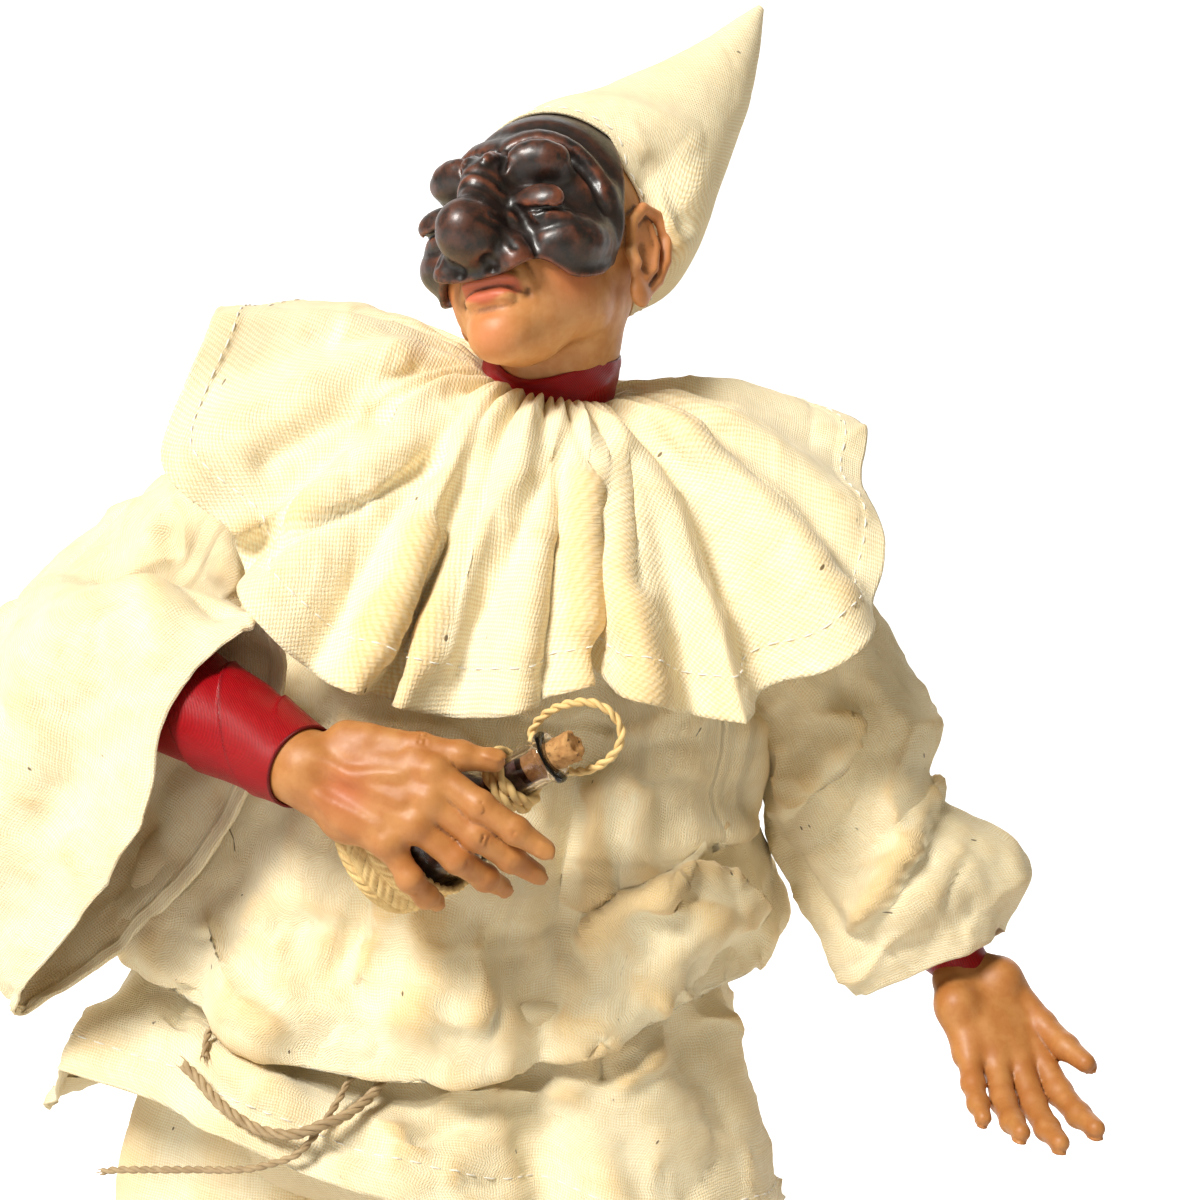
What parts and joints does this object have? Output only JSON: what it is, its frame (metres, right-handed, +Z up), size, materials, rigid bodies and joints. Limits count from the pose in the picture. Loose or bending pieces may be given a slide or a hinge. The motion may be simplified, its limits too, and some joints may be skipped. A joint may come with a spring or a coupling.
{
  "type": "decorative_figure",
  "caption": "Standing cloth-dressed commedia dell'arte figure with dark half mask, pointed hat, ruffle collar, belted tunic and a corked bottle in hand",
  "frame": {"origin": "centre of the round base's underside", "axes": "+Z up, the figure's chest faces -Y, its own left hand is towards +X"},
  "size_m": [0.217, 0.1331, 0.3809],
  "materials": {
    "turned_wood": "dark stain, satin",
    "black_leather": "waxed",
    "muslin": "unbleached plain weave",
    "red_satin": "satin twill ribbon",
    "painted_clay": "hand-painted flesh colour, semi-gloss glaze over fired clay",
    "dark_lacquer": "brown-black gloss lacquer with rubbed reddish highs",
    "bottle_glass": "clear, faint purple-grey",
    "cork": "raw cork",
    "raffia": "braided and twisted raffia",
    "twine": "twisted jute"
  },
  "bodies": {
    "root": {"base": "turned_wood", "right_shoe": "black_leather", "left_shoe": "black_leather", "trousers": "muslin", "tunic": "muslin", "right_sleeve": "muslin", "left_sleeve": "muslin", "collar": "muslin", "neck_ribbon": "red_satin", "head": "painted_clay", "mask": "dark_lacquer", "hat": "muslin", "right_hand": "painted_clay", "left_hand": "painted_clay", "right_wrist_ribbon": "red_satin", "left_wrist_ribbon": "red_satin", "bottle": "bottle_glass", "bottle_cork": "cork", "bottle_basket": "raffia", "bottle_neck_tie": "raffia", "waist_twine": "twine", "twine_thick_end": "twine", "twine_long_end": "twine", "twine_short_end": "twine", "bottle_handle": "raffia"}
  },
  "joints": []
}
